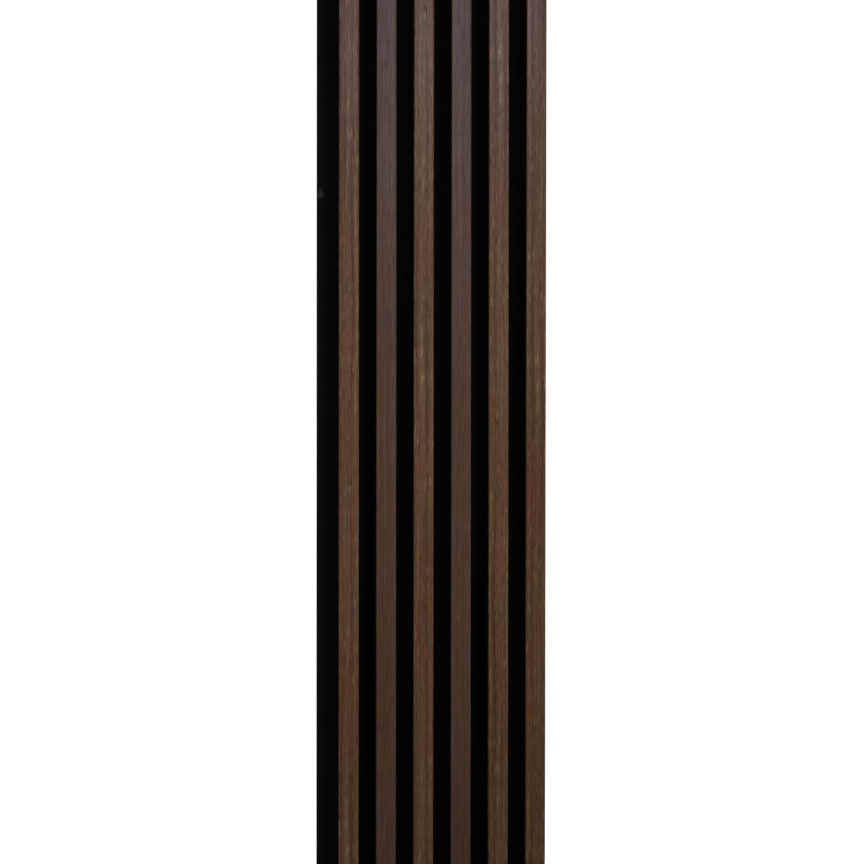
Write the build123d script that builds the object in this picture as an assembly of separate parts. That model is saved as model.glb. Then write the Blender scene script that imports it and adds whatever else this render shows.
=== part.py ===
from build123d import *
import os

# Slatted wall panel: upright slats glued to a black backing board that is set over to one side.
# The board reaches past the first slat as a tongue, and the last slat overhangs the board by the
# same lap, so that the tongue of the next panel slips in behind it and the row of slats runs on.
# Frame: X along the wall, Y into the wall, Z up. The origin is the middle of the board's back.

# Driving dimensions in millimetres
panel_length = 1200.0
slat_count = 6
slat_width = 27.0
slat_depth = 22.0
slat_gap = 23.0
slat_arris_radius = 1.8
slat_back_bevel = 0.6
board_thickness = 6.0
board_edge_bevel = 0.5
joint_lap = 7.0

# Sizes and places that follow from them
slat_pitch = slat_width + slat_gap
board_width = slat_count * slat_pitch
board_left = -board_width / 2
board_front = -board_thickness
tongue_width = slat_gap + joint_lap
first_slat_left = board_left + tongue_width


def upright(section):
    """Extrudes a section drawn in the wall's plan view, half its length up and half down."""
    return extrude(section, amount=panel_length / 2, both=True)


def backing_board():
    """Flat sheet against the wall, with its four long edges eased."""
    sheet = Pos(0, board_front / 2) * Rectangle(board_width, board_thickness)
    return upright(chamfer(sheet.vertices(), length=board_edge_bevel))


def slat(left):
    """Bar seated on the board: rounded arrises in front and a small glue bevel along the back."""
    bar = Pos(left + slat_width / 2, board_front - slat_depth / 2) * Rectangle(slat_width, slat_depth)
    front_corners = bar.vertices().group_by(Axis.Y)[0]
    eased = fillet(front_corners, radius=slat_arris_radius)
    back_corners = eased.vertices().group_by(Axis.Y)[-1]
    return upright(chamfer(back_corners, length=slat_back_bevel))


def save(solid, node):
    solid.label = node
    export_step(solid, f"parts/{node}.step")


os.makedirs("parts", exist_ok=True)
save(backing_board(), "backing_board")
for index in range(slat_count):
    save(slat(first_slat_left + index * slat_pitch), f"slat_{index + 1}")
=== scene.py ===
import math
from dataclasses import dataclass

import bmesh
import bpy
from mathutils import Matrix, Vector


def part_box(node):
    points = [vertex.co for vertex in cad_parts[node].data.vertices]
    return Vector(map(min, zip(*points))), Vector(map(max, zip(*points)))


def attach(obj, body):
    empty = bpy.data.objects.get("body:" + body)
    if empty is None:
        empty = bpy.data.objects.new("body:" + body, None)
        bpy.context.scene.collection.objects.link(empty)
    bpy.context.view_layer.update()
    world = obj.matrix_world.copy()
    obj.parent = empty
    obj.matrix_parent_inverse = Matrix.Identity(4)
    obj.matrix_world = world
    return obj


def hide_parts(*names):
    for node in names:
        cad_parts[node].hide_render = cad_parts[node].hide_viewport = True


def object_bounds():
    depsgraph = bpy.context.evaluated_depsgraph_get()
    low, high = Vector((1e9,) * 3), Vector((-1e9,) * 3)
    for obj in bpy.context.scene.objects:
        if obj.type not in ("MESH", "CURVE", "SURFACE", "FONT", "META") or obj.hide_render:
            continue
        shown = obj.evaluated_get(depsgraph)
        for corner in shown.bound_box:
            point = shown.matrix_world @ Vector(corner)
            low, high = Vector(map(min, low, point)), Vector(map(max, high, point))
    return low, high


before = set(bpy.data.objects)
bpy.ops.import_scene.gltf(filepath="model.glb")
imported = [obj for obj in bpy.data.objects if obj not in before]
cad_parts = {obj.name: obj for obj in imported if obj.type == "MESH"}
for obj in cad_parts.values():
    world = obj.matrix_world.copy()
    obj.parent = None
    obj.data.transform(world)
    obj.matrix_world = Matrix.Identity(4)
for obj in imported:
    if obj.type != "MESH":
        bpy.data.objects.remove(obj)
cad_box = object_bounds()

MILLIMETRES = 1000.0
WHITE = (1.0, 1.0, 1.0, 1.0)

# Slat section in metres: the solids' own edges, and a fine bevel where a slat is cut to length
FIRST_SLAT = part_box("slat_1")
SLAT_WIDTH = FIRST_SLAT[1].x - FIRST_SLAT[0].x
ARRIS_RADIUS = 0.0018
ARRIS_STEPS = 8
BACK_BEVEL = 0.0006
CUT_EDGE_BEVEL = 0.0003
SHARP_ANGLE = math.radians(30)

# Shares of a slat's map: a strip along its foot holds the two cut ends side by side, clear of its edges
END_MAP_SHARE = 0.03
END_MAP_MARGIN = 0.02
END_MAP_INSET = 0.1

# Sizes of the prints' marks in millimetres, width then length
WANDER_SIZE = (60.0, 170.0)
STREAK_CHANGE_SIZE = (40.0, 110.0)
LONG_MARK_SIZE = (2.8, 260.0)
SHORT_MARK_WIDTH = 2.1
FIBRE_SIZE = (0.4, 20.0)
PORE_SIZE = (1.5, 15.0)
PORE_PATCH_SIZE = (5.0, 70.0)
FLECK_SIZE = (2.5, 28.0)
FLECK_PATCH_SIZE = (8.0, 70.0)
PATCH_WIDTH = 30.0

# How far the grain wanders sideways, and how gently a streak begins and ends, in millimetres
WANDER_REACH = 4.5
STREAK_FADE = 45.0

# Layers of noise, one for each kind of mark, and the first of those for the streaks
WANDER = 0
LONG_MARKS = 1
SHORT_MARKS = 2
FIBRES = 3
PORES = 4
PORE_PATCHES = 5
FLECKS = 6
FLECK_PATCHES = 7
REDDENING = 8
OLIVE = 9
FIRST_STREAK = 20

# Levels of noise from where a pore or a fleck begins to where it is full, and the same for their patches
PORE_LEVELS = (0.12, 0.22)
PORE_PATCH_LEVELS = (-0.08, 0.14)
FEWEST_PORES = 0.1
FLECK_LEVELS = (0.08, 0.16)
FLECK_PATCH_LEVELS = (-0.05, 0.07)

# How far red, green and blue follow a mark's lightness, the two drifts of hue, and the painted sheen and
# shade that grey the arrises
LIGHT_FOLLOW = (0.80, 1.10, 1.30)
DRIFT_TO_RED = (0.30, -0.25, -0.60)
DRIFT_TO_OLIVE = (0.06, 0.12, -1.10)
# Painted sheen and shade on the arrises: less red, bluer, so the edges read grey like a highlight
ARRIS_SHEEN_AND_SHADE = (-0.22, -0.02, 0.28)

# Millimetres from the front's corners: inside them the painted arris sheen and shade and the rubbing begin
# and are full, past them both end
ARRIS_SHEEN_SPAN = (4.2, 1.0)
ARRIS_RUBBING = (1.8, 1.1)
ARRIS_END = (0.9, 2.5)

# Finish of the prints: dark grain is open and dull, and rubbed arrises are rougher and duller
PRINT_ROUGHNESS = 0.345
FIBRE_ROUGHNESS = 0.16
PORE_ROUGHNESS = 0.12
RUBBED_ROUGHNESS = 0.28
PRINT_GLOSS = 0.36
RUBBED_GLOSS_LOSS = 0.28
GLOSS_FOLLOW = 0.7
PRINT_RELIEF = 0.00012

# Sawn ends of the slats, with the scales of their marks in repeats to the metre
CUT_END_COLOUR = (0.085, 0.050, 0.028)
CUT_END_GLOSS = 0.25
CUT_END_RELIEF = 0.0003
SPECKLE_SCALE = 1800.0
CLUMP_SCALE = 350.0
SAW_SCALE = (60.0, 900.0, 1.0)

# Black board, with the scales of its marks in repeats to the metre
BLACK = (0.0031, 0.0031, 0.0032)
BOARD_GLOSS = 0.03
BOARD_RELIEF = 0.0001
MOTTLE_SCALE = 45.0
TOOTH_SCALE = 1400.0
RUB_SCALE = (90.0, 90.0, 9.0)

# Board's front in metres: painted light makes the tongue paler than the floors of the gaps, which painted
# shade darkens, and the tongue has one scuff
BOARD_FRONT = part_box("backing_board")[0].y
FRONT_SKIN = (0.0002, 0.0006)
TONGUE_EDGE = cad_box[0].x
TONGUE_MIDDLE = TONGUE_EDGE + 0.016
PAINTED_TONGUE_LIGHT = 0.7
FIRST_SLAT_EDGE = FIRST_SLAT[0].x
GAP_SHADE_FADE = 0.008
PAINTED_GAP_SHADE = 1.25
SCUFF_MIDDLE = TONGUE_EDGE + 0.0052
SCUFF_FOOT = 0.3135
SCUFF_WIDTH = 0.0098
SCUFF_HEIGHT = 0.0138
SCUFF_COLOUR = (0.021, 0.021, 0.022)
SCUFF_EDGE_SCALE = 500.0

# Photograph's camera
PHOTO_SIDE = 864
METRES_PER_PIXEL = 0.0013355
CAMERA_DISTANCE = 4.5
CAMERA_PITCH = math.radians(1.1)
CAMERA_ROLL = math.radians(0.067)
AIM = Vector((0.005, cad_box[0].y, 0.0))
SENSOR_WIDTH = 36.0

# World: its strength in diffuse light and in reflections before the panel, and the backdrop's soft edge
AMBIENT = 0.08
DIM_STUDIO = 0.01
BACKDROP_RISE = 3.0
BACKDROP_START = 0.2

# Floor in metres: in reflections white behind the panel and faint close in front, and a painted shadow round
# its foot
FLOOR_RADIUS = 40.0
FLOOR_DROP = 0.0005
FLOOR_COLOUR = (0.55, 0.55, 0.55)
FLOOR_BEHIND = (-0.2, 0.3)
FLOOR_NEAR = (-0.6, -0.05)
NEAR_GLOW = 0.22
FOOT_LINE = -0.03
FOOT_SHADOW = (0.02, 0.15)
FOOT_GLOW = 0.35


@dataclass
class Streak:
    """A streak: its centre and width in millimetres across the slat, and its span in metres along it."""
    centre: float
    width: float
    strength: float
    span: tuple = None


def patch(strength, begin, finish):
    """A lighter or darker stretch of a print, over the slat's whole width."""
    return Streak(0.0, PATCH_WIDTH, strength, (begin, finish))


@dataclass
class Print:
    """A wood print: its colour, its streaks and patches, and how strongly its finer marks show."""
    tint: tuple
    streaks: list
    long_marks: float
    short_marks: float
    short_length: float
    fibres: float
    pores: float
    flecks: float
    slant: float
    hue_drift: float
    drift_size: tuple
    seed: float


@dataclass
class Slat:
    """Where a slat was cut from its print, in metres, whether it is turned end for end, and its tone, which
    on slat 6 is partly painted shade.
    """
    node: str
    slot: str
    wood: Print
    start: float
    turned: bool = False
    shade: tuple = (1.0, 1.0, 1.0)
    outer_shade: float = 0.0


STREAKY = Print(
    tint=(0.0870, 0.0393, 0.0138),
    streaks=[
        Streak(4.8, 1.9, -0.28),
        Streak(-2.3, 2.6, 0.10),
        Streak(-11.0, 2.4, 0.08),
        Streak(-0.5, 2.0, 0.12, (0.0, 0.28)),
        Streak(-6.8, 1.8, -0.16, (0.0, 0.26)),
        Streak(8.7, 2.0, 0.20, (0.29, 0.58)),
        Streak(-8.4, 2.2, 0.08, (0.29, 0.56)),
        Streak(-8.6, 1.8, -0.20, (0.87, 1.15)),
        Streak(-4.0, 2.0, 0.18, (0.87, 1.15)),
        Streak(-9.2, 1.6, 0.15, (1.21, 1.50)),
        Streak(8.6, 1.8, 0.15, (1.21, 1.80)),
        patch(-0.14, 0.19, 0.47),
        patch(0.06, 0.67, 0.88),
        patch(-0.10, 0.92, 1.12),
        patch(-0.05, 1.33, 1.56),
        patch(-0.10, 1.60, 1.72),
    ],
    long_marks=1.2,
    short_marks=1.35,
    short_length=16.0,
    fibres=0.55,
    pores=0.75,
    flecks=0.6,
    slant=0.0,
    hue_drift=2.5,
    drift_size=(5.6, 130.0),
    seed=3.0,
)

QUIET = Print(
    tint=(0.0590, 0.0279, 0.0138),
    streaks=[
        Streak(-10.5, 2.8, 0.15),
        Streak(-1.0, 2.0, 0.05),
        Streak(4.0, 2.5, -0.07),
        patch(-0.08, -0.10, 0.19),
        patch(-0.07, 0.36, 0.56),
        patch(-0.08, 0.88, 1.02),
        patch(-0.08, 1.46, 1.70),
    ],
    long_marks=0.4,
    short_marks=1.1,
    short_length=36.0,
    fibres=0.45,
    pores=0.5,
    flecks=0.2,
    slant=0.04,
    hue_drift=2.0,
    drift_size=(9.0, 60.0),
    seed=11.0,
)

SLATS = [
    Slat("slat_1", "warm_brown_wood", STREAKY, start=0.0),
    Slat("slat_2", "grey_brown_wood", QUIET, start=0.0),
    Slat("slat_3", "warm_brown_wood", STREAKY, start=0.632),
    Slat("slat_4", "grey_brown_wood", QUIET, start=0.373),
    Slat("slat_5", "warm_brown_wood", STREAKY, start=0.054, turned=True),
    # Slat 6 is darker than the others, partly its own tone and partly painted shade for the weaker light and
    # reflection at the panel's right end, most in blue; it is also darker towards the panel's outer edge
    Slat(
        "slat_6",
        "warm_brown_wood",
        STREAKY,
        start=0.464,
        turned=True,
        shade=(0.89, 0.85, 0.70),
        outer_shade=0.10,
    ),
]


class Nodes:
    """Short calls for building a node tree. A value is a number, a tuple or another node's output."""

    def __init__(self, tree):
        self.tree = tree

    def put(self, socket, value):
        if isinstance(value, bpy.types.NodeSocket):
            self.tree.links.new(value, socket)
        else:
            socket.default_value = value

    def node(self, kind, **settings):
        made = self.tree.nodes.new(kind)
        for name, value in settings.items():
            setattr(made, name, value)
        return made

    def math(self, operation, *values, clamp=False):
        made = self.node("ShaderNodeMath", operation=operation, use_clamp=clamp)
        for socket, value in zip(made.inputs, values):
            self.put(socket, value)
        return made.outputs[0]

    def times(self, value, factor):
        return self.math("MULTIPLY", value, factor)

    def sum(self, *values):
        total = values[0]
        for value in values[1:]:
            total = self.math("ADD", total, value)
        return total

    def vector(self, operation, *values):
        made = self.node("ShaderNodeVectorMath", operation=operation)
        for socket, value in zip(made.inputs, values):
            self.put(socket, value)
        return made.outputs[0]

    def scaled(self, vector, factor):
        made = self.node("ShaderNodeVectorMath", operation="SCALE")
        self.put(made.inputs["Vector"], vector)
        self.put(made.inputs["Scale"], factor)
        return made.outputs[0]

    def length(self, vector):
        made = self.node("ShaderNodeVectorMath", operation="LENGTH")
        self.put(made.inputs[0], vector)
        return made.outputs["Value"]

    def combine(self, x, y, z):
        made = self.node("ShaderNodeCombineXYZ")
        for socket, value in zip(made.inputs, (x, y, z)):
            self.put(socket, value)
        return made.outputs[0]

    def separate(self, vector):
        made = self.node("ShaderNodeSeparateXYZ")
        self.put(made.inputs[0], vector)
        return made.outputs

    def step(self, value, low, high, to_low=0.0, to_high=1.0):
        """A smooth step from to_low, where value is low, to to_high, where it is high."""
        made = self.node("ShaderNodeMapRange", interpolation_type="SMOOTHSTEP")
        self.put(made.inputs["Value"], value)
        self.put(made.inputs["From Min"], low)
        self.put(made.inputs["From Max"], high)
        self.put(made.inputs["To Min"], to_low)
        self.put(made.inputs["To Max"], to_high)
        return made.outputs[0]

    def noise(self, vector, detail=2.0, roughness=0.5):
        """Noise about zero, from about -0.5 to 0.5."""
        made = self.node("ShaderNodeTexNoise")
        self.put(made.inputs["Vector"], vector)
        self.put(made.inputs["Scale"], 1.0)
        self.put(made.inputs["Detail"], detail)
        self.put(made.inputs["Roughness"], roughness)
        return self.math("SUBTRACT", made.outputs[0], 0.5)

    def camera_and_reflections(self, strength):
        """1 to the camera, and that strength to reflected and transmitted rays."""
        path = self.node("ShaderNodeLightPath")
        reflected = self.math("ADD", path.outputs["Is Glossy Ray"], path.outputs["Is Transmission Ray"])
        return self.math("MULTIPLY_ADD", reflected, strength, path.outputs["Is Camera Ray"])


class Surface(Nodes):
    """The node tree of a new material, with calls for its shader."""

    def __init__(self, name):
        self.material = bpy.data.materials.new(name)
        self.material.use_nodes = True
        super().__init__(self.material.node_tree)

    def set(self, name, value):
        self.put(self.tree.nodes["Principled BSDF"].inputs[name], value)

    def object_place(self):
        return self.node("ShaderNodeTexCoord").outputs["Object"]

    def bump(self, height, distance):
        made = self.node("ShaderNodeBump")
        self.put(made.inputs["Height"], height)
        self.put(made.inputs["Distance"], distance)
        self.put(made.inputs["Strength"], 0.5)
        self.set("Normal", made.outputs[0])


class Grain(Surface):
    """A slat's print, laid out in millimetres across and along the slat."""

    def __init__(self, slat):
        super().__init__(slat.node + "_wood")
        self.wood = slat.wood
        place = self.separate(self.node("ShaderNodeUVMap", uv_map="grain").outputs[0])
        self.flat_across = self.times(place[0], MILLIMETRES)
        self.along = self.times(place[1], MILLIMETRES)
        wander = self.times(self.marks(WANDER, WANDER_SIZE, self.flat_across, detail=1.0), WANDER_REACH)
        self.across = self.math("ADD", self.flat_across, wander)
        self.leaning = self.math("ADD", self.across, self.times(self.along, self.wood.slant))

    def marks(self, layer, size, across, detail=2.0, roughness=0.5):
        """Noise that is drawn out into marks of about that width and length."""
        width, length = size
        spot = self.combine(
            self.math("DIVIDE", across, width),
            self.math("DIVIDE", self.along, length),
            self.wood.seed + layer,
        )
        return self.noise(spot, detail, roughness)

    def streak(self, streak, layer):
        """One streak, which fades to both sides, comes and goes along the slat, and may have two ends."""
        share = self.math("DIVIDE", self.math("SUBTRACT", self.across, streak.centre), streak.width)
        fall = self.math("EXPONENT", self.times(self.times(share, share), -1.0))
        change = self.math("MULTIPLY_ADD", self.marks(layer, STREAK_CHANGE_SIZE, self.flat_across), 2.0, 1.0)
        if streak.span:
            begin, finish = (end * MILLIMETRES for end in streak.span)
            begun = self.step(self.along, begin - STREAK_FADE, begin + STREAK_FADE)
            unfinished = self.step(self.along, finish - STREAK_FADE, finish + STREAK_FADE, 1.0, 0.0)
            change = self.times(change, self.times(begun, unfinished))
        return self.times(self.times(fall, streak.strength), change)

    def streaks(self):
        numbered = enumerate(self.wood.streaks, FIRST_STREAK)
        return self.sum(*[self.streak(streak, layer) for layer, streak in numbered])

    def pores(self):
        """Short dark pores, denser in some patches than in others."""
        pores = self.step(self.marks(PORES, PORE_SIZE, self.leaning, detail=1.0), *PORE_LEVELS)
        patches = self.marks(PORE_PATCHES, PORE_PATCH_SIZE, self.flat_across)
        return self.times(pores, self.step(patches, *PORE_PATCH_LEVELS, FEWEST_PORES, 1.0))

    def flecks(self):
        """Short pale dashes, which lie in patches."""
        flecks = self.step(self.marks(FLECKS, FLECK_SIZE, self.leaning, detail=1.0), *FLECK_LEVELS)
        patches = self.marks(FLECK_PATCHES, FLECK_PATCH_SIZE, self.flat_across)
        return self.times(flecks, self.step(patches, *FLECK_PATCH_LEVELS))

    def hue_drift(self, layer):
        drift = self.marks(layer, self.wood.drift_size, self.across, detail=3.0, roughness=0.72)
        return self.times(drift, self.wood.hue_drift)

    def outer_shade(self, strength):
        """Darker towards one side of the slat and lighter towards the other."""
        half_front = SLAT_WIDTH / 2 * MILLIMETRES
        return self.step(self.flat_across, -half_front, half_front, -strength, strength)

    def along_arrises(self, begin, full):
        """1 along the two front arrises and 0 elsewhere."""
        half_front = SLAT_WIDTH / 2 * MILLIMETRES
        from_middle = self.math("ABSOLUTE", self.flat_across)
        on_front = self.step(from_middle, half_front - begin, half_front - full)
        before_side = self.step(from_middle, half_front + ARRIS_END[0], half_front + ARRIS_END[1], 1.0, 0.0)
        return self.times(on_front, before_side)


def slat_outline(low, high):
    """The slat's section from the middle of its back round by the left, as (x, y, girth), and half its girth.

    Girth is the way round the section, and 0 in the middle of the front.
    """
    middle = (low.x + high.x) / 2
    points = [(middle, high.y), (low.x + BACK_BEVEL, high.y), (low.x, high.y - BACK_BEVEL)]
    for side, start in ((low.x + ARRIS_RADIUS, math.pi), (high.x - ARRIS_RADIUS, 1.5 * math.pi)):
        for step in range(ARRIS_STEPS + 1):
            angle = start + step / ARRIS_STEPS * math.pi / 2
            x = side + ARRIS_RADIUS * math.cos(angle)
            y = low.y + ARRIS_RADIUS + ARRIS_RADIUS * math.sin(angle)
            points.append((x, y))
    points += [(high.x, high.y - BACK_BEVEL), (high.x - BACK_BEVEL, high.y)]
    steps = [math.dist(a, b) for a, b in zip(points, points[1:] + points[:1])]
    half = sum(steps) / 2
    girths = [sum(steps[:index]) - half for index in range(len(points))]
    return [(x, y, girth) for (x, y), girth in zip(points, girths)], half


def slat_rings(maker, low, high, outline):
    """The outline's vertices at each cut end, drawn in by the bevel there, and just inside it."""
    middle = (low + high) / 2
    levels = [
        (low.z, CUT_EDGE_BEVEL),
        (low.z + CUT_EDGE_BEVEL, 0.0),
        (high.z - CUT_EDGE_BEVEL, 0.0),
        (high.z, CUT_EDGE_BEVEL),
    ]
    rings = []
    for z, inset in levels:
        share_x = 1 - inset / (high.x - middle.x)
        share_y = 1 - inset / (high.y - middle.y)
        ring = []
        for x, y, girth in outline:
            place = (middle.x + (x - middle.x) * share_x, middle.y + (y - middle.y) * share_y, z)
            ring.append(maker.verts.new(place))
        rings.append(ring)
    return rings


def print_place(slat, low, high, girth, z):
    """Across the print from the slat's centre line, and along it from where the print starts."""
    if slat.turned:
        return -girth, slat.start + (z - low.z)
    return girth, slat.start + (high.z - z)


def wrap_map_place(low, high, half_girth, girth, z):
    """Where a point of the slat's sides lies on its map, above the strip for the cut ends."""
    across = (girth + half_girth) / (2 * half_girth)
    up = (z - low.z) / (high.z - low.z)
    return across, END_MAP_SHARE + up * (1 - END_MAP_SHARE)


def end_map_place(low, high, corner, half):
    """Where a corner of a cut end lies in the strip: the lower end has half 0, and the upper end half 1."""
    across = (corner.x - low.x) / (high.x - low.x)
    back = (corner.y - low.y) / (high.y - low.y)
    along_strip = half / 2 + END_MAP_MARGIN + (0.5 - 2 * END_MAP_MARGIN) * across
    up_strip = END_MAP_SHARE * (END_MAP_INSET + (1 - 2 * END_MAP_INSET) * back)
    return along_strip, up_strip


def add_object(name, data):
    made = bpy.data.objects.new(name, data)
    bpy.context.scene.collection.objects.link(made)
    return made


def slat_piece(slat):
    """A bar of that section between its cut ends, with the print's coordinates and a map to bake through."""
    low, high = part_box(slat.node)
    outline, half_girth = slat_outline(low, high)
    maker = bmesh.new()
    grain = maker.loops.layers.uv.new("grain")
    bake = maker.loops.layers.uv.new("OFBake")
    rings = slat_rings(maker, low, high, outline)

    for lower, upper in zip(rings, rings[1:]):
        for index in range(len(outline)):
            after = (index + 1) % len(outline)
            girth_here = outline[index][2]
            girth_after = outline[after][2] if after else half_girth
            corners = [
                (lower[index], girth_here),
                (lower[after], girth_after),
                (upper[after], girth_after),
                (upper[index], girth_here),
            ]
            face = maker.faces.new([vertex for vertex, girth in corners])
            for loop, (vertex, girth) in zip(face.loops, corners):
                loop[grain].uv = print_place(slat, low, high, girth, vertex.co.z)
                loop[bake].uv = wrap_map_place(low, high, half_girth, girth, vertex.co.z)

    for half, ring in enumerate((rings[0][::-1], rings[-1])):
        face = maker.faces.new(ring)
        face.material_index = 1
        for loop in face.loops:
            loop[grain].uv = (loop.vert.co.x, loop.vert.co.y)
            loop[bake].uv = end_map_place(low, high, loop.vert.co, half)

    bmesh.ops.recalc_face_normals(maker, faces=maker.faces)
    mesh = bpy.data.meshes.new(slat.node + "_bar")
    maker.to_mesh(mesh)
    maker.free()
    mesh.shade_smooth()
    mesh.set_sharp_from_angle(angle=SHARP_ANGLE)
    return add_object(slat.node + "_bar", mesh)


def wood_colour(nodes, slat, light):
    """The print's colour: dark marks are redder than light ones, patches drift towards red and olive, and
    painted sheen and shade grey the arrises.
    """
    reddening = nodes.hue_drift(REDDENING)
    olive = nodes.hue_drift(OLIVE)
    # Painted sheen and shade: the arrises turn greyer and bluer
    arris_sheen_and_shade = nodes.along_arrises(*ARRIS_SHEEN_SPAN)
    channels = []
    for channel in range(3):
        change = nodes.sum(
            nodes.times(light, LIGHT_FOLLOW[channel]),
            nodes.times(reddening, DRIFT_TO_RED[channel]),
            nodes.times(olive, DRIFT_TO_OLIVE[channel]),
            nodes.times(arris_sheen_and_shade, ARRIS_SHEEN_AND_SHADE[channel]),
        )
        base = slat.wood.tint[channel] * slat.shade[channel]
        channels.append(nodes.times(nodes.math("EXPONENT", change), base))
    return nodes.combine(*channels)


def wood_material(slat):
    """The slat's print: streaks, marks of several lengths, pores and flecks, all drawn out along the slat."""
    nodes = Grain(slat)
    wood = slat.wood
    long_marks = nodes.marks(LONG_MARKS, LONG_MARK_SIZE, nodes.across, detail=1.0)
    short_size = (SHORT_MARK_WIDTH, wood.short_length)
    short_marks = nodes.marks(SHORT_MARKS, short_size, nodes.leaning, roughness=0.6)
    fibres = nodes.marks(FIBRES, FIBRE_SIZE, nodes.across, roughness=0.6)
    pores = nodes.pores()
    light = nodes.sum(
        nodes.streaks(),
        nodes.times(long_marks, wood.long_marks),
        nodes.times(short_marks, wood.short_marks),
        nodes.times(fibres, wood.fibres),
        nodes.times(pores, -wood.pores),
        nodes.times(nodes.flecks(), wood.flecks),
        nodes.outer_shade(slat.outer_shade),
    )
    nodes.set("Base Color", wood_colour(nodes, slat, light))

    rubbed = nodes.along_arrises(*ARRIS_RUBBING)
    roughness = nodes.sum(
        PRINT_ROUGHNESS,
        nodes.times(fibres, FIBRE_ROUGHNESS),
        nodes.times(pores, PORE_ROUGHNESS),
        nodes.times(rubbed, RUBBED_ROUGHNESS),
    )
    nodes.set("Roughness", roughness)
    gloss = nodes.math("MULTIPLY_ADD", rubbed, -RUBBED_GLOSS_LOSS, PRINT_GLOSS)
    follow = nodes.math("EXPONENT", nodes.times(light, GLOSS_FOLLOW))
    nodes.set("Specular IOR Level", nodes.math("MULTIPLY", gloss, follow, clamp=True))
    nodes.bump(nodes.math("SUBTRACT", nodes.times(fibres, 0.5), nodes.times(pores, 0.7)), PRINT_RELIEF)
    return nodes.material


def cut_end_material(slat):
    """The sawn end of a slat: fine speckle and faint saw lines, a little paler than the print."""
    nodes = Surface(slat.node + "_cut_end")
    place = nodes.object_place()
    speckle = nodes.noise(nodes.scaled(place, SPECKLE_SCALE), detail=3.0, roughness=0.6)
    clumps = nodes.noise(nodes.scaled(place, CLUMP_SCALE))
    saw = nodes.noise(nodes.vector("MULTIPLY", place, SAW_SCALE), detail=1.0)
    light = nodes.sum(1.0, nodes.times(speckle, 1.1), nodes.times(clumps, 0.5), nodes.times(saw, 0.4))
    nodes.set("Base Color", nodes.scaled(CUT_END_COLOUR, light))
    nodes.set("Roughness", nodes.math("MULTIPLY_ADD", speckle, 0.2, 0.8))
    nodes.set("Specular IOR Level", CUT_END_GLOSS)
    nodes.bump(nodes.math("ADD", speckle, saw), CUT_END_RELIEF)
    return nodes.material


def scuff_mark(nodes, place):
    """A ragged half round on the tongue, 1 inside it and 0 outside."""
    x, y, z = nodes.separate(place)
    sideways = nodes.math("DIVIDE", nodes.math("SUBTRACT", x, SCUFF_MIDDLE), SCUFF_WIDTH / 2)
    upward = nodes.math("DIVIDE", nodes.math("SUBTRACT", z, SCUFF_FOOT), SCUFF_HEIGHT)
    from_heart = nodes.length(nodes.combine(sideways, upward, 0.0))
    roughening = nodes.noise(nodes.scaled(place, SCUFF_EDGE_SCALE))
    ragged = nodes.math("MULTIPLY_ADD", roughening, 0.9, from_heart)
    return nodes.times(nodes.step(ragged, 0.5, 1.1, 1.0, 0.0), nodes.step(upward, -0.12, 0.12))


def board_material():
    """Matt black board: a faint mottle and paper tooth, painted light on the tongue, painted shade on the
    floors of the gaps, and one scuff at its outer edge.
    """
    nodes = Surface("black_board")
    place = nodes.object_place()
    x, y, z = nodes.separate(place)
    mottle = nodes.noise(nodes.scaled(place, MOTTLE_SCALE), detail=3.0)
    tooth = nodes.noise(nodes.scaled(place, TOOTH_SCALE))
    rubbed = nodes.noise(nodes.vector("MULTIPLY", place, RUB_SCALE), detail=3.0, roughness=0.6)
    light = nodes.sum(1.0, nodes.times(mottle, 0.7), nodes.times(rubbed, 0.6), nodes.times(tooth, 0.5))

    front = nodes.step(y, BOARD_FRONT + FRONT_SKIN[0], BOARD_FRONT + FRONT_SKIN[1], 1.0, 0.0)
    # Painted light pales the tongue and painted shade darkens the floors of the gaps, on the board's front
    # only
    tongue_painted_light = nodes.step(x, TONGUE_EDGE, TONGUE_MIDDLE, 0.0, PAINTED_TONGUE_LIGHT)
    gap_painted_shade = nodes.step(x, FIRST_SLAT_EDGE, FIRST_SLAT_EDGE + GAP_SHADE_FADE, 0.0, -PAINTED_GAP_SHADE)
    tone = nodes.math("MULTIPLY_ADD", nodes.math("ADD", tongue_painted_light, gap_painted_shade), front, 1.0)
    black = nodes.scaled(BLACK, nodes.times(light, tone))
    scuff = nodes.times(scuff_mark(nodes, place), front)
    nodes.set("Base Color", nodes.vector("ADD", black, nodes.scaled(SCUFF_COLOUR, scuff)))
    nodes.set("Roughness", nodes.math("MULTIPLY_ADD", mottle, 0.2, 0.55))
    nodes.set("Specular IOR Level", BOARD_GLOSS)
    nodes.bump(nodes.math("ADD", tooth, nodes.times(rubbed, 0.4)), BOARD_RELIEF)
    return nodes.material


def dress_slats():
    for slat in SLATS:
        piece = slat_piece(slat)
        piece.data.materials.append(wood_material(slat))
        piece.data.materials.append(cut_end_material(slat))
        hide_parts(slat.node)
        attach(piece, "root")


def dress_board():
    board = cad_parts["backing_board"]
    board.data.materials.clear()
    board.data.materials.append(board_material())


def make_camera():
    data = bpy.data.cameras.new("camera")
    data.sensor_width = SENSOR_WIDTH
    data.lens = SENSOR_WIDTH * CAMERA_DISTANCE / (PHOTO_SIDE * METRES_PER_PIXEL)
    camera = add_object("camera", data)
    back = Vector((0.0, -math.cos(CAMERA_PITCH), math.sin(CAMERA_PITCH)))
    place = Matrix.Translation(AIM + back * CAMERA_DISTANCE)
    turn = (-back).to_track_quat("-Z", "Y").to_matrix().to_4x4()
    camera.matrix_world = place @ turn @ Matrix.Rotation(CAMERA_ROLL, 4, "Z")
    bpy.context.scene.camera = camera


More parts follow.
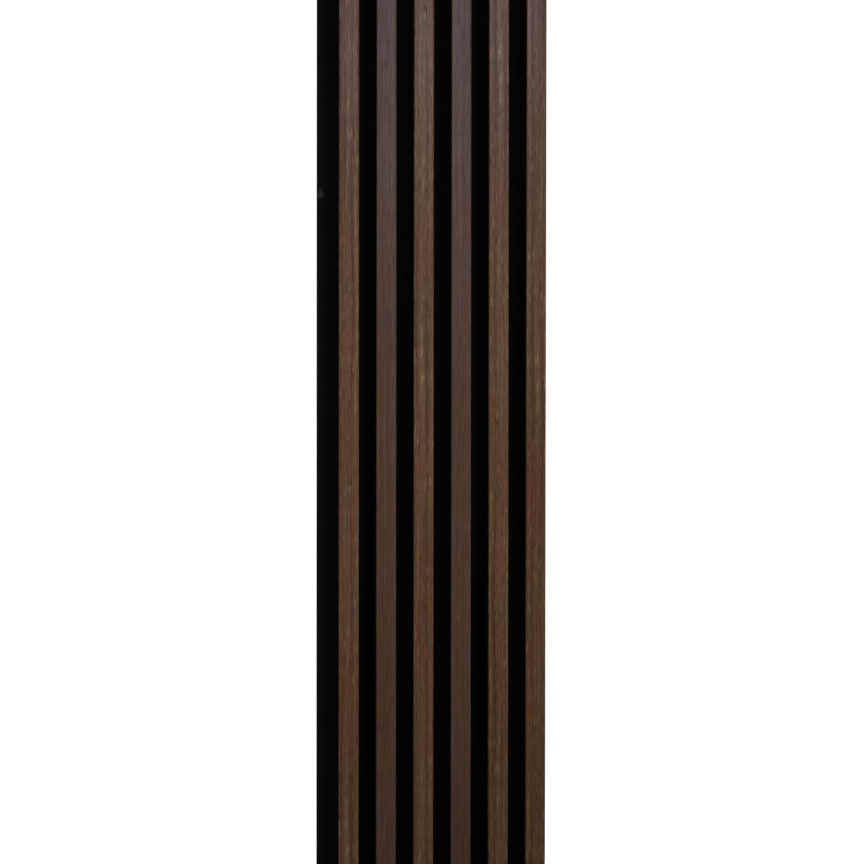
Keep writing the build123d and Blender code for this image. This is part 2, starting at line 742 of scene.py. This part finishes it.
def area_lamp(name, place, aim, size, watts, spread=math.pi, colour=(1.0, 1.0, 1.0)):
    data = bpy.data.lights.new(name, "AREA")
    data.shape = "RECTANGLE"
    data.size, data.size_y = size
    data.energy = watts
    data.spread = spread
    data.color = colour
    lamp = add_object(name, data)
    lamp.location = place
    lamp.rotation_euler = (Vector(aim) - Vector(place)).to_track_quat("-Z", "Y").to_euler()
    lamp.visible_camera = False


def make_lights():
    """A key from the right, a softbox over the cut ends, and two that the slats' fronts mirror."""
    area_lamp(
        "right_key",
        place=(1.7, -1.85, 0.1),
        aim=(-0.9, 0.0, 0.1),
        size=(1.2, 1.2),
        watts=11.4,
        spread=math.radians(55),
    )
    area_lamp(
        "top_softbox",
        place=(0.0, 0.35, 1.2),
        aim=(0.0, 0.0, 0.6),
        size=(0.9, 0.3),
        watts=4.4,
        spread=math.radians(110),
    )
    area_lamp(
        "high_softbox",
        place=(0.02, -2.4, 0.85),
        aim=(0.0, 0.0, 0.5),
        size=(0.4, 0.3),
        watts=6.7,
        colour=(0.98, 0.91, 1.08),
    )
    area_lamp(
        "strip_softbox",
        place=(0.02, -2.4, 0.25),
        aim=(0.0, 0.0, 0.2),
        size=(0.4, 0.3),
        watts=0.9,
        colour=(0.98, 0.96, 1.04),
    )


def make_world():
    """White to the camera. Reflections see a white backdrop behind the panel and a dim studio in front."""
    world = bpy.data.worlds.new("studio")
    bpy.context.scene.world = world
    world.use_nodes = True
    nodes = Nodes(world.node_tree)
    background = world.node_tree.nodes["Background"]
    background.inputs["Color"].default_value = WHITE
    x, y, z = nodes.separate(nodes.node("ShaderNodeTexCoord").outputs["Generated"])
    behind = nodes.math("MULTIPLY_ADD", y, BACKDROP_RISE, BACKDROP_START, clamp=True)
    backdrop = nodes.math("MULTIPLY_ADD", behind, 1.0 - DIM_STUDIO, DIM_STUDIO)
    seen = nodes.camera_and_reflections(backdrop)
    scattered = nodes.times(nodes.node("ShaderNodeLightPath").outputs["Is Diffuse Ray"], AMBIENT)
    nodes.put(background.inputs["Strength"], nodes.math("ADD", seen, scattered))


def floor_material():
    """Pale and matt. To the camera it is white, apart from round the panel's foot, where a painted shadow
    dims its glow over the panel's own shadow.
    """
    nodes = Surface("floor")
    place = nodes.object_place()
    faint = nodes.math("MULTIPLY_ADD", nodes.noise(nodes.scaled(place, 3.0)), 0.04, 1.0)
    nodes.set("Base Color", nodes.scaled(FLOOR_COLOUR, faint))
    nodes.set("Roughness", 0.9)
    nodes.set("Specular IOR Level", 0.1)

    x, y, z = nodes.separate(place)
    behind = nodes.step(y, *FLOOR_BEHIND)
    near = nodes.step(y, *FLOOR_NEAR, 0.0, NEAR_GLOW)
    seen = nodes.camera_and_reflections(nodes.math("MAXIMUM", behind, near))
    sideways = nodes.math("MAXIMUM", nodes.math("SUBTRACT", nodes.math("ABSOLUTE", x), cad_box[1].x), 0.0)
    # Painted shadow: the glow dims round the panel's foot, whether or not light reaches there
    from_foot = nodes.length(nodes.combine(sideways, nodes.math("SUBTRACT", y, FOOT_LINE), 0.0))
    glow = nodes.step(from_foot, *FOOT_SHADOW, FOOT_GLOW, 1.0)
    nodes.set("Emission Color", WHITE)
    nodes.set("Emission Strength", nodes.times(seen, glow))
    return nodes.material


def make_floor():
    mesh = bpy.data.meshes.new("floor")
    maker = bmesh.new()
    bmesh.ops.create_circle(maker, cap_ends=True, segments=64, radius=FLOOR_RADIUS)
    maker.to_mesh(mesh)
    maker.free()
    mesh.materials.append(floor_material())
    floor = add_object("floor", mesh)
    floor.location = (0.0, 0.0, cad_box[0].z - FLOOR_DROP)


dress_slats()
dress_board()
make_camera()
make_lights()
make_world()
make_floor()
bpy.context.scene.view_settings.view_transform = "Standard"
